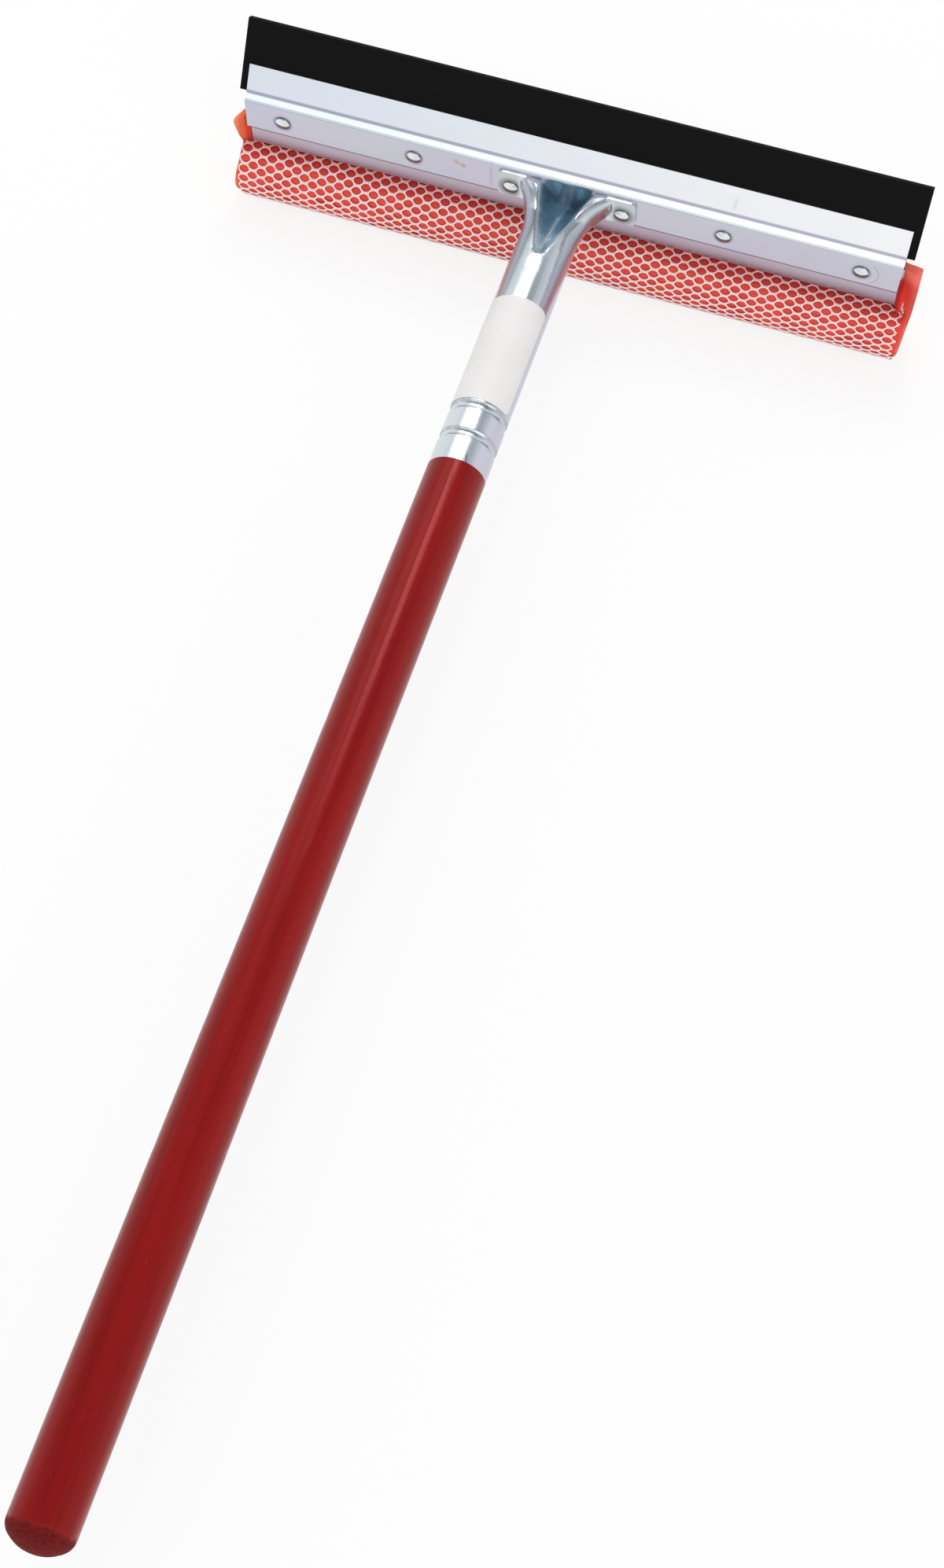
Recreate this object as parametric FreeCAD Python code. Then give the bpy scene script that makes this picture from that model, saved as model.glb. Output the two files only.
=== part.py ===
import FreeCAD, Part
import math
import os

os.makedirs("parts", exist_ok=True)
V = FreeCAD.Vector

# All sizes are millimetres. While drawing, X runs along the head, Y along the handle
# towards the head, Z up on the blade's side. The handle's axis is the line X = Z = 0
# and the front of the riveted flange is Y = 0. At the end everything moves together
# so that the origin is under the middle of the whole tool.

# Sheet metal of the head: a joggled front plate, a flat strip and a bent rear plate
plate_length = 203.0
sheet = 0.8
flange_top = 4.5
flange_height = 10.9
joggle_run = 2.1
joggle_rise = 1.5
lip_angle = 56.8
lip_length = 8.6
rear_lip_length = 8.0
bend_radius = 1.6
crease_radius = 0.6
strip_left_inset = 1.0
strip_right_reach = 0.4
strip_clear = 1.2
strip_height = 16.7

# Rubber blade
blade_overhang = 2.35
blade_height = 21.5
blade_thick = 2.2
blade_seat = 0.3

# Foam bar and its net: reaches are measured outwards from the ends of the plates
body_half_thick = 10.6
body_left_height = 23.4
body_right_height = 21.8
body_clear = 0.4
net_thick = 0.4
net_left_reach = 2.3
net_right_reach = 1.1
net_neck_inset = 0.5
foam_gap = 0.3
foam_left_reach = 2.7
foam_right_reach = 3.9
foam_round = 1.6
lobe_left_reach = 3.4
lobe_right_reach = 5.5
lobe_clear = 0.6
lobe_lap = 0.4
lobe_half_thick = 4.6
lobe_left_lift = 0.9
lobe_right_drop = 4.2
lobe_swell = ((0.35, 0.75, 0.5), (0.75, 1.0, 0.3), (1.0, 0.8, -0.8))
lobe_corner = 0.6

# Rivets
rivet_inset = 11.8
rivet_pitch = 41.7
ear_rivet_inset = 4.05
plain_rivet_z = -1.5
ear_rivet_z = -2.5
shank_radius = 1.5
hole_clearance = 0.06
drill_reach = 10.0
head_radius = 2.4
head_rise = 0.9
head_edge = 0.25
head_crown = (0.78, 0.52)
clinch_curl = 0.3
clinch_radius = 2.25
clinch_height = 0.75
clinch_bore = 0.9

# Ferrule: a tube, crimped on the wood, with a V pressed into its head end and two flat ears
tube_radius = 8.5
wall = 1.0
ferrule_length = 104.3
crimp_insets = (9.3, 18.9)
crimp_depth = 0.55
crimp_radius = 2.2
spread_length = 48.0
mouth_half = 14.9
mouth_side = 1.4
mouth_top = 3.4
mouth_bottom = 8.1
flare_length = 20.0
flare_power = 2.1
press_length = 27.0
press_power = 1.6
square_length = 12.0
square_power = 0.5
shoulder_power = 8.0
valley_length = 28.9
valley_step = 1.5
valley_step_run = 1.2
valley_tip = 1.9
valley_slope = 0.235
valley_pinch = 1.1
valley_end = -5.6
valley_fold = (1.3, 4.0)
valley_fold_length = 10.0
valley_crease = 0.25
valley_flank = 1.8
valley_bow_length = 20.0
valley_bow = (1.15, 1.8)
ear_outer = 21.3
ear_lap = 2.4
ear_top = 3.6
ear_bottom = -6.2
ear_round = 1.6

# How finely the spread end's outline is drawn
fine_steps = 200
lower_steps = 32
shoulder_steps = 24
flank_steps = 8
valley_steps = 16
round_stations = 3
step_stations = 3
head_stations = 24
head_crowding = 1.3
slope_step = 0.05
steepest = 1.4

# Wooden handle
grip_length = 306.0
butt_dome = 6.3
butt_radius = 8.7
straight_butt = 60.0
waist_radius = 8.45
waist_reach = 145.7
tenon_length = 42.3
tenon_clearance = 0.05

# Paper label on the tube
label_gap = 1.9
label_length = 37.0
label_thick = 0.12
label_glue = 0.03
label_edge = 69.0
label_wrap = 220.0
label_round = 2.0
trim_spare = 0.2

# Places that follow from the sizes
half_plate = plate_length / 2
flange_bottom = flange_top - flange_height
strip_top = flange_top - strip_clear
strip_bottom = strip_top - strip_height
body_top = strip_bottom - body_clear
net_left = -half_plate - net_left_reach
net_right = half_plate + net_right_reach
outer_rivet = half_plate - rivet_inset
inner_rivet = outer_rivet - rivet_pitch
plain_rivets = (-outer_rivet, -inner_rivet, inner_rivet, outer_rivet)
ear_rivets = (ear_rivet_inset - ear_outer, ear_outer - ear_rivet_inset)
ferrule_end = -ferrule_length
crimps = [ferrule_end + inset for inset in crimp_insets]
butt_end = ferrule_end - grip_length
tenon_end = ferrule_end + tenon_length
label_from = max(crimps) + label_gap
label_to = label_from + label_length


def blend(start, end, share):
    return start + (end - start) * share


def side(y, z, x=0.0):
    """A point of the side view."""
    return V(x, y, z)


def rounded_path(points, radii):
    """Edges of a path in the side view with its corners rounded."""
    edges = []
    start = points[0]
    for before, corner, after, radius in zip(points, points[1:], points[2:], radii):
        back = (before - corner).normalize()
        ahead = (after - corner).normalize()
        half = back.getAngle(ahead) / 2
        cut = radius / math.tan(half)
        middle = corner + (back + ahead).normalize() * (radius / math.sin(half) - radius)
        edges.append(Part.makeLine(start, corner + back * cut))
        edges.append(Part.Arc(corner + back * cut, middle, corner + ahead * cut).toShape())
        start = corner + ahead * cut
    edges.append(Part.makeLine(start, points[-1]))
    return edges


def bent_sheet(points, radii, length, middle=0.0):
    """A folded strip of sheet: its front path, thickened to the rear, run along X."""
    ways = [(b - a).normalize() for a, b in zip(points, points[1:])]
    normals = [V(0, w.z, -w.y) for w in ways]
    rear = [points[0] + normals[0] * sheet]
    rear_radii = []
    for corner, n1, n2, w1, w2, radius in zip(points[1:], normals, normals[1:], ways, ways[1:], radii):
        rear.append(corner + (n1 + n2) * (sheet / (1 + n1.dot(n2))))
        turn = w1.y * w2.z - w1.z * w2.y
        rear_radii.append(radius + math.copysign(sheet, turn))
    rear.append(points[-1] + normals[-1] * sheet)
    edges = rounded_path(points, radii) + rounded_path(rear, rear_radii)
    edges.append(Part.makeLine(points[0], rear[0]))
    edges.append(Part.makeLine(points[-1], rear[-1]))
    face = Part.Face(Part.Wire(Part.__sortEdges__(edges)))
    face.translate(V(middle - length / 2, 0, 0))
    return face.extrude(V(length, 0, 0))


def block(x0, x1, y0, y1, z0, z1):
    """A box between two corners."""
    return Part.makeBox(x1 - x0, y1 - y0, z1 - z0, V(x0, y0, z0))


def turned(edges):
    """A solid of revolution about the handle's axis from a closed half profile."""
    face = Part.Face(Part.Wire(Part.__sortEdges__(edges)))
    return face.revolve(V(0, 0, 0), V(0, 1, 0), 360)


lip_way = V(0, math.cos(math.radians(lip_angle)), math.sin(math.radians(lip_angle)))
lip_normal = V(0, lip_way.z, -lip_way.y)
crease = side(joggle_run, flange_top + joggle_rise)
rear_crease = crease + lip_normal * (sheet + blade_thick)
rear_face = rear_crease.y
neck_front = 2 * sheet
neck_middle = (neck_front + rear_face) / 2


def rivet_holes(extra=0.0):
    """Drills for all six rivets."""
    spots = [(x, plain_rivet_z) for x in plain_rivets] + [(x, ear_rivet_z) for x in ear_rivets]
    radius = shank_radius + hole_clearance + extra
    drill = 2 * drill_reach
    return [Part.makeCylinder(radius, drill, V(x, -drill_reach, z), V(0, 1, 0)) for x, z in spots]


def front_plate():
    points = [side(0, flange_bottom), side(0, flange_top), crease, crease + lip_way * lip_length]
    return bent_sheet(points, [bend_radius, crease_radius], plate_length).cut(rivet_holes())


def neck_strip():
    left = strip_left_inset - half_plate
    right = half_plate + strip_right_reach
    strip = block(left, right, sheet, neck_front, strip_bottom, strip_top)
    return strip.cut(rivet_holes())


def rear_plate():
    points = [side(rear_face, strip_bottom), rear_crease, rear_crease + lip_way * rear_lip_length]
    return bent_sheet(points, [bend_radius], plate_length).cut(rivet_holes())


def rubber_blade():
    foot = crease + lip_normal * sheet + lip_way * blade_seat
    top = foot + lip_way * blade_height
    across = lip_normal * blade_thick
    face = Part.Face(Part.makePolygon([foot, top, top + across, foot + across, foot]))
    half = half_plate + blade_overhang
    face.translate(V(-half, 0, 0))
    return face.extrude(V(2 * half, 0, 0))


def oval(x, inset):
    """The bar's outline across the head at x, drawn in by an even amount."""
    share = (x - net_left) / (net_right - net_left)
    half_height = blend(body_left_height, body_right_height, share) / 2
    scale = FreeCAD.Matrix()
    scale.scale(1, body_half_thick - inset, half_height - inset)
    wire = Part.Wire(Part.makeCircle(1.0, V(0, 0, 0), V(1, 0, 0)).transformGeometry(scale))
    wire.translate(side(neck_middle, body_top - half_height, x))
    return wire


def sponge_body(x0, x1, inset):
    return Part.makeLoft([oval(x0, inset), oval(x1, inset)], True, True)


def sponge_neck(x0, x1, inset, top):
    """The part of foam or net that the plates pinch, from the middle of the bar up."""
    half = (rear_face - neck_front) / 2 - inset
    return block(x0, x1, neck_middle - half, neck_middle + half, body_top - body_half_thick, top)


def net_sleeve():
    slim = net_neck_inset - half_plate
    outer = sponge_body(net_left, net_right, 0).fuse(
        sponge_neck(slim + strip_left_inset, -slim, 0, strip_top))
    inner = sponge_body(net_left - wall, net_right + wall, net_thick).fuse(
        sponge_neck(net_left - wall, net_right + wall, net_thick, strip_top + wall))
    return outer.cut(inner).cut(rivet_holes())


def rounded_box_wire(x, y0, y1, z0, z1, corner):
    """A rectangle across the head with round corners."""
    spots = [V(x, y0, z0), V(x, y1, z0), V(x, y1, z1), V(x, y0, z1)]
    edges = []
    for last, here, ahead in zip(spots[-1:] + spots, spots, spots[1:] + spots[:1]):
        to_next = (ahead - here).normalize()
        to_last = (last - here).normalize()
        bulge = here + (to_next + to_last) * (corner * (1 - math.sqrt(0.5)))
        edges.append(Part.Arc(here + to_last * corner, bulge, here + to_next * corner).toShape())
        edges.append(Part.makeLine(here + to_next * corner, ahead - to_next * corner))
    return Part.Wire(edges)


def lobe(x_plate, x_end, low):
    """Foam that swells where the plates let go of it."""
    thin = (rear_face - neck_front) / 2 - net_thick - foam_gap
    sections = []
    for share, swell, lift in ((0.0, thin / lobe_half_thick, 0.0),) + lobe_swell:
        half = swell * lobe_half_thick
        sections.append(rounded_box_wire(blend(x_plate, x_end, share), neck_middle - half, neck_middle + half,
                                         low, strip_top + lift, lobe_corner * half))
    return Part.makeLoft(sections, True, False)


def foam_sponge():
    inset = net_thick + foam_gap
    body = sponge_body(-half_plate - foam_left_reach, half_plate + foam_right_reach, inset)
    body = body.makeFillet(foam_round, [e for e in body.Edges if len(e.Vertexes) == 1 and e.isClosed()])
    left = -half_plate - lobe_clear
    right = net_right + lobe_lap
    neck = sponge_neck(left - lobe_lap, right + lobe_lap, inset, strip_top)
    lobes = [lobe(left, -half_plate - lobe_left_reach, body_top + lobe_left_lift),
             lobe(right, half_plate + lobe_right_reach, body_top - lobe_right_drop)]
    foam = body.fuse([neck] + lobes)
    return foam.cut(rivet_holes(foam_gap)).removeSplitter()


def rivet(x, z, seat):
    """Domed head on the handle's side, rolled-over tubular end at the back."""
    back = rear_face + sheet
    crown = side(seat - head_crown[0] * head_rise, head_crown[1] * head_radius)
    dome = Part.Arc(side(seat - head_rise, 0), crown, side(seat - head_edge, head_radius)).toShape()
    points = [side(seat - head_edge, head_radius), side(seat, head_radius), side(seat, shank_radius),
              side(back, shank_radius), side(back, clinch_radius)]
    lines = [Part.makeLine(a, b) for a, b in zip(points, points[1:])]
    roll_end = side(back + clinch_curl * clinch_height, clinch_bore)
    roll_top = side(back + clinch_height, (clinch_radius + clinch_bore) / 2)
    roll = Part.Arc(side(back, clinch_radius), roll_top, roll_end).toShape()
    floor = [roll_end, side(back - sheet, clinch_bore),
             side(back - sheet, 0), side(seat - head_rise, 0)]
    lines += [Part.makeLine(a, b) for a, b in zip(floor, floor[1:])]
    body = turned([dome, roll] + lines)
    body.translate(V(x, 0, z))
    return body


def crimped_line(radius, arc_radius):
    """Edges of a tube wall from the wood's end to the start of the spread, with both crimps."""
    edges = []
    start = side(ferrule_end, radius)
    rise = tube_radius - crimp_depth + crimp_radius
    for y in sorted(crimps):
        half = math.sqrt(arc_radius ** 2 - (rise - radius) ** 2)
        edges.append(Part.makeLine(start, side(y - half, radius)))
        edges.append(Part.Arc(side(y - half, radius), side(y, rise - arc_radius),
                              side(y + half, radius)).toShape())
        start = side(y + half, radius)
    return edges, start


def tube():
    outer, outer_last = crimped_line(tube_radius, crimp_radius)
    inner, inner_last = crimped_line(tube_radius - wall, crimp_radius + wall)
    outer_end = side(-spread_length, tube_radius)
    inner_end = side(-spread_length, tube_radius - wall)
    rims = [Part.makeLine(outer_last, outer_end), Part.makeLine(inner_last, inner_end),
            Part.makeLine(outer_end, inner_end),
            Part.makeLine(side(ferrule_end, tube_radius), side(ferrule_end, tube_radius - wall))]
    return turned(outer + inner + rims)


def grown(y, length, power):
    """How far a change over the last length has gone at y: 0 at its start, 1 at the head."""
    return max(0.0, min(1.0, 1 + y / length)) ** power


def valley_half(y):
    """Half the width of the pressed-in V at y."""
    return (valley_tip + valley_slope * max(0.0, y + valley_length)
            - valley_pinch * grown(y, square_length, 2))


def crown(y):
    """Height that the tube's top would have at y without the V."""
    return blend(tube_radius, mouth_top, grown(y, press_length, press_power))


def dent(x, y):
    """How far the V is pressed into the upper wall."""
    run = (y + valley_length + valley_step_run) / valley_step_run
    run = max(0.0, min(1.0, run))
    rim = tube_radius - valley_step
    crease_z = blend(rim, valley_end, 1 + y / valley_length)
    depth = (crown(y) - crease_z) * run * run * (3 - 2 * run)
    half = valley_half(y)
    bow = blend(*valley_bow, grown(y, valley_bow_length, 1))
    inward = 1 - (math.hypot(x, valley_crease) / half) ** bow
    fold = blend(*valley_fold, grown(y, valley_fold_length, 1)) * depth / (2 * half ** 2)
    return depth * (inward + math.hypot(inward, fold)) / (1 + math.hypot(1, fold))


def upper_wall(x, y):
    """Height of the tube's upper half at x, with the V pressed into it."""
    flare = grown(y, flare_length, flare_power)
    half = blend(tube_radius, mouth_half, flare)
    level = mouth_side * flare
    power = blend(2.0, shoulder_power, grown(y, square_length, 1))
    arch = math.sqrt(max(0.0, 1 - abs(x / half) ** power))
    return blend(level, crown(y), arch) - dent(x, y)


def spread_section(y, inset):
    """The tube's outline at y, round at first, low and wide at the head: points round the outside and
    points across the valley with its two folds."""
    flare = grown(y, flare_length, flare_power)
    half = blend(tube_radius, mouth_half, flare)
    level = mouth_side * flare
    low = level + blend(tube_radius, mouth_bottom, grown(y, press_length, 2)) - inset
    square = 2 / blend(1.0, square_power, grown(y, square_length, 1))

    def lower(share):
        dip = math.cos(math.pi / 2 * share)
        return V((half - inset) * math.sqrt(1 - dip ** square), y, level - low * dip)

    def upper(turn):
        x = half * math.cos(turn)
        lean = (dent(x - slope_step, y) - dent(x + slope_step, y)) / (2 * slope_step)
        drop = math.sin(turn) * math.hypot(1, min(steepest, abs(lean)) * math.sin(turn))
        return V((half - inset) * math.cos(turn), y, upper_wall(x, y) - inset * drop)

    flank = math.acos((valley_half(y) + valley_flank) / half)
    fold = math.acos(valley_half(y) / half)
    outside = (evenly(lower, 0.0, 1.0, lower_steps)
               + evenly(upper, 0.0, flank, shoulder_steps)[1:])
    valley = (evenly(upper, flank, fold, flank_steps)
              + evenly(upper, fold, math.pi / 2, valley_steps)[1:])
    return mirrored(outside[::-1]), mirrored(valley)


def mirrored(points):
    """A row of points that ends in the middle plane, run on to the other side."""
    return points + [V(-p.x, p.y, p.z) for p in reversed(points[:-1])]


def evenly(line, start, end, steps):
    """Points at even distances along a line that is given by a function."""
    points = [line(blend(start, end, i / fine_steps)) for i in range(fine_steps + 1)]
    reached = [0.0]
    for a, b in zip(points, points[1:]):
        reached.append(reached[-1] + a.distanceToPoint(b))
    spaced = [points[0]]
    at = 1
    for i in range(1, steps):
        goal = reached[-1] * i / steps
        while reached[at] < goal:
            at += 1
        share = (goal - reached[at - 1]) / (reached[at] - reached[at - 1])
        spaced.append(points[at - 1] + (points[at] - points[at - 1]) * share)
    return spaced + [points[-1]]


def spline(points, places):
    """A smooth curve through points that are reached at the given places of its length."""
    curve = Part.BSplineCurve()
    curve.interpolate(Points=points, Parameters=places)
    return curve


def skin(rows, stations):
    """A smooth surface through rows of points, one row at each station along the tube."""
    places = [i / (len(rows[0]) - 1) for i in range(len(rows[0]))]
    across = [spline(row, places) for row in rows]
    along = [spline(column, stations) for column in zip(*(curve.getPoles() for curve in across))]
    surface = Part.BSplineSurface()
    surface.buildFromPolesMultsKnots([curve.getPoles() for curve in along],
                                     across[0].getMultiplicities(), along[0].getMultiplicities(),
                                     across[0].getKnots(), along[0].getKnots(), False, False, 3, 3)
    return surface


def spread_body(inset, overrun):
    """The spread end of the tube as a full solid, drawn in by an even amount."""
    step_start = -valley_length - valley_step_run
    stations = [blend(-spread_length, step_start - valley_step_run, i / round_stations)
                for i in range(round_stations + 1)]
    stations += [blend(step_start, -valley_length, i / step_stations) for i in range(step_stations + 1)]
    stations += [-valley_length * (1 - i / head_stations) ** head_crowding
                 for i in range(1, head_stations + 1)]
    if overrun:
        stations = [stations[0] - overrun] + stations + [overrun]
    skins = [skin(rows, stations) for rows in zip(*(spread_section(y, inset) for y in stations))]
    ends = [Part.Face(Part.Wire([surface.vIso(y).toShape() for surface in skins]))
            for y in (stations[0], stations[-1])]
    shell = Part.Compound([surface.toShape() for surface in skins] + ends)
    shell.sewShape()
    return Part.makeSolid(Part.Shell(shell.Faces))


def ear(sign):
    inner, outer = sorted((sign * (mouth_half - ear_lap), sign * ear_outer))
    tab = block(inner, outer, -wall, 0, ear_bottom, ear_top)
    corners = [e for e in tab.Edges if abs(e.BoundBox.XLength) < 1e-6 and abs(e.BoundBox.ZLength) < 1e-6
               and abs(abs(e.CenterOfMass.x) - ear_outer) < 1e-6]
    return tab.makeFillet(ear_round, corners)


def ferrule():
    hollow = spread_body(wall, wall)
    spread = spread_body(0.0, 0.0).cut(hollow)
    ears = [ear(sign).cut(hollow) for sign in (-1, 1)]
    body = tube().fuse([spread] + ears, 1e-3)
    return body.cut(rivet_holes()).removeSplitter()


def wooden_handle():
    bore = tube_radius - wall - tenon_clearance
    tenon, tenon_last = crimped_line(bore, crimp_radius + wall + tenon_clearance)
    shoulder = side(ferrule_end, tube_radius)
    straight_top = butt_end + butt_dome + straight_butt
    grip = Part.BSplineCurve()
    waist = side(ferrule_end - waist_reach, waist_radius)
    grip.interpolate(Points=[shoulder, waist, side(straight_top, butt_radius)],
                     InitialTangent=V(0, -1, 0), FinalTangent=V(0, -1, 0))
    dome_start = side(butt_end + butt_dome, butt_radius)
    dome_middle = side(butt_end + butt_dome * (1 - math.sqrt(0.5)), butt_radius * math.sqrt(0.5))
    dome = Part.BSplineCurve()
    dome.interpolate(Points=[dome_start, dome_middle, side(butt_end, 0)],
                     InitialTangent=V(0, -1, 0), FinalTangent=V(0, 0, -1))
    edges = tenon + [grip.toShape(), dome.toShape()]
    points = [tenon_last, side(tenon_end, bore), side(tenon_end, 0), side(butt_end, 0)]
    edges += [Part.makeLine(a, b) for a, b in zip(points, points[1:])]
    edges.append(Part.makeLine(side(ferrule_end, bore), shoulder))
    edges.append(Part.makeLine(side(straight_top, butt_radius), dome_start))
    return turned(edges)


def label_corner(angle, side_way, y, end_way):
    """What is trimmed off one corner of the label to round it."""
    xs = sorted((-trim_spare * side_way, side_way * label_round))
    ys = sorted((y - trim_spare * end_way, y + end_way * label_round))
    trim = block(xs[0], xs[1], ys[0], ys[1], tube_radius - wall, tube_radius + wall)
    centre = V(side_way * label_round, y + end_way * label_round, tube_radius - 2 * wall)
    trim = trim.cut(Part.makeCylinder(label_round, 4 * wall, centre))
    trim.rotate(V(0, 0, 0), V(0, 1, 0), angle)
    return trim


def paper_label():
    low = tube_radius + label_glue
    high = low + label_thick
    points = [side(label_from, low), side(label_to, low), side(label_to, high), side(label_from, high)]
    face = Part.Face(Part.makePolygon(points + points[:1]))
    face.rotate(V(0, 0, 0), V(0, 1, 0), label_edge - label_wrap)
    body = face.revolve(V(0, 0, 0), V(0, 1, 0), label_wrap)
    trims = [label_corner(angle, side_way, y, end_way)
             for angle, side_way in ((label_edge, -1), (label_edge - label_wrap, 1))
             for y, end_way in ((label_from, 1), (label_to, -1))]
    return body.cut(trims)


pieces = {
    "wooden_handle": wooden_handle(),
    "ferrule": ferrule(),
    "paper_label": paper_label(),
    "front_plate": front_plate(),
    "neck_strip": neck_strip(),
    "rear_plate": rear_plate(),
    "rubber_blade": rubber_blade(),
    "foam_sponge": foam_sponge(),
    "net_sleeve": net_sleeve(),
}
for number, place in enumerate(plain_rivets, 1):
    pieces["plate_rivet_%d" % number] = rivet(place, plain_rivet_z, 0.0)
for name, place in zip(("ear_rivet_left", "ear_rivet_right"), ear_rivets):
    pieces[name] = rivet(place, ear_rivet_z, -wall)

box = FreeCAD.BoundBox()
for shape in pieces.values():
    box.add(shape.optimalBoundingBox(False))
move = V(-box.Center.x, -box.Center.y, -box.ZMin)
for name, shape in pieces.items():
    shape = shape.Solids[0]
    shape.translate(move)
    shape.exportStep("parts/%s.step" % name)
    print(name, shape.ShapeType, len(shape.Solids), shape.isValid(), round(shape.Volume, 2))
print("moved by", move)
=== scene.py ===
import math

import bpy
import numpy as np
from mathutils import Matrix, Vector


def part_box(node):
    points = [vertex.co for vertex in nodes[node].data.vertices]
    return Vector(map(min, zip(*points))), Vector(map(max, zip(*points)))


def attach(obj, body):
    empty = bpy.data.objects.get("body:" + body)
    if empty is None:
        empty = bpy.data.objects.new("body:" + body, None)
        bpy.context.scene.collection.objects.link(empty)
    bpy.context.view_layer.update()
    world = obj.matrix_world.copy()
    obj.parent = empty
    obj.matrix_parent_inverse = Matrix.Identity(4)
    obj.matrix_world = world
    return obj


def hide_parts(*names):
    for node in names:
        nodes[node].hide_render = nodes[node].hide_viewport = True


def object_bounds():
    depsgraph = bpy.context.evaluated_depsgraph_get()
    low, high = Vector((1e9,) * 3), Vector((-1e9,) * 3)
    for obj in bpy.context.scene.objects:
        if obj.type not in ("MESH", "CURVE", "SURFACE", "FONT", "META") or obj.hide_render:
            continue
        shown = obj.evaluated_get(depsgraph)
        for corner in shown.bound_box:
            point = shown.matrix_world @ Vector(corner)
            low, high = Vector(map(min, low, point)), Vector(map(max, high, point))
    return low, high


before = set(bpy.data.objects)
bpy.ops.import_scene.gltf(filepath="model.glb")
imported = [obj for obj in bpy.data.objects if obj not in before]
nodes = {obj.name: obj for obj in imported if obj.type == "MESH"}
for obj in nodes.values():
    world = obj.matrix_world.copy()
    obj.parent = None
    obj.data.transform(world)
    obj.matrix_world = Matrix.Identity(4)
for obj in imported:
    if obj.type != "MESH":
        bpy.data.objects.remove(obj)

cad_low, cad_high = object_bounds()
mm = 0.001

# The picture: its long side in pixels, and the camera that took it, in the part's frame
picture_long_side = 1994
focal_pixels = 3176.5
sensor_mm = 36.0
camera_place = Vector((125.2, -270.9, 623.15)) * mm
camera_right = Vector((0.9500, 0.3123, -0.0034))
camera_up = Vector((-0.2787, 0.8525, 0.4422))


# Small helpers for node materials

class Paint:
    """A material under construction: its node tree, its main shader and short ways to wire them."""

    def __init__(self, name):
        self.material = bpy.data.materials.new(name)
        self.material.use_nodes = True
        self.tree = self.material.node_tree
        self.shader = self.tree.nodes["Principled BSDF"]
        self.place = self.node("ShaderNodeTexCoord").outputs["Object"]

    def node(self, kind, **settings):
        """A new node of a kind, with its own settings."""
        made = self.tree.nodes.new(kind)
        for name, value in settings.items():
            setattr(made, name, value)
        return made

    def wire(self, source, target):
        self.tree.links.new(source, target)

    def feed(self, node, **inputs):
        """Sets or wires named inputs of a node; an underscore in a name stands for a space."""
        for name, value in inputs.items():
            socket = node.inputs[name.replace("_", " ")]
            if isinstance(value, bpy.types.NodeSocket):
                self.wire(value, socket)
            else:
                socket.default_value = value
        return node

    def set(self, **inputs):
        self.feed(self.shader, **inputs)

    def stretched(self, scale):
        """The place on the piece, scaled along each axis, so that a texture runs along the others."""
        mapping = self.feed(self.node("ShaderNodeMapping"), Vector=self.place)
        mapping.inputs["Scale"].default_value = scale
        return mapping.outputs["Vector"]

    def noise(self, scale, detail=4.0, roughness=0.55, vector=None):
        texture = self.node("ShaderNodeTexNoise")
        self.feed(texture, Vector=vector or self.place, Scale=scale, Detail=detail, Roughness=roughness)
        return texture.outputs["Fac"]

    def ramp(self, value, stops):
        """Colours or greys along a value."""
        ramp = self.node("ShaderNodeValToRGB")
        elements = ramp.color_ramp.elements
        while len(elements) < len(stops):
            elements.new(0.5)
        for element, (position, colour) in zip(elements, stops):
            element.position = position
            if not hasattr(colour, "__len__"):
                colour = (colour, colour, colour)
            element.color = (*colour, 1.0)
        self.wire(value, ramp.inputs["Fac"])
        return ramp.outputs["Color"]

    def mix(self, factor, first, second, blend="MIX"):
        mix = self.node("ShaderNodeMix", data_type="RGBA", blend_type=blend)
        for value, socket in ((factor, mix.inputs[0]), (first, mix.inputs[6]), (second, mix.inputs[7])):
            if isinstance(value, bpy.types.NodeSocket):
                self.wire(value, socket)
            else:
                socket.default_value = (*value, 1.0) if hasattr(value, "__len__") else value
        return mix.outputs[2]

    def clouded(self, value, first, second, start=0.35, end=0.65):
        """Two colours mixed by a value: all of the first up to start, all of the second from end on."""
        return self.mix(self.ramp(value, ((start, 0.0), (end, 1.0))), first, second)

    def times(self, colour, shade):
        """A colour multiplied by another."""
        return self.mix(1.0, colour, shade, "MULTIPLY")

    def maths(self, first, second, operation="ADD"):
        maths = self.node("ShaderNodeMath", operation=operation)
        for value, socket in zip((first, second), maths.inputs):
            if isinstance(value, bpy.types.NodeSocket):
                self.wire(value, socket)
            else:
                socket.default_value = value
        return maths.outputs[0]

    def apart(self, value, middle):
        """How far a value is from a middle, either way."""
        return self.maths(self.maths(value, middle, "SUBTRACT"), 0.0, "ABSOLUTE")

    def span(self, value, start, end, low=0.0, high=1.0, kind="SMOOTHSTEP"):
        """A value that goes from low to high as another goes from start to end."""
        spread = self.node("ShaderNodeMapRange", interpolation_type=kind)
        for socket, given in zip(spread.inputs, (value, start, end, low, high)):
            if isinstance(given, bpy.types.NodeSocket):
                self.wire(given, socket)
            else:
                socket.default_value = given
        return spread.outputs["Result"]

    def axis(self, letter):
        """The place on the piece along one axis."""
        return self.feed(self.node("ShaderNodeSeparateXYZ"), Vector=self.place).outputs[letter]

    def far_from(self, point, flat=False):
        """How far the place on the piece is from a point, or from a line across the head through it."""
        away = self.node("ShaderNodeVectorMath", operation="DISTANCE")
        place = self.place
        if flat:
            squash = self.node("ShaderNodeVectorMath", operation="MULTIPLY")
            self.wire(place, squash.inputs[0])
            squash.inputs[1].default_value = (1.0, 0.0, 1.0)
            place = squash.outputs["Vector"]
            point = (point[0], 0.0, point[2])
        self.wire(place, away.inputs[0])
        away.inputs[1].default_value = point
        return away.outputs["Value"]

    def bump(self, height, distance, strength=1.0, normal=None):
        bump = self.node("ShaderNodeBump")
        self.feed(bump, Height=height, Distance=distance, Strength=strength)
        if normal:
            self.wire(normal, bump.inputs["Normal"])
        return bump.outputs["Normal"]


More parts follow.
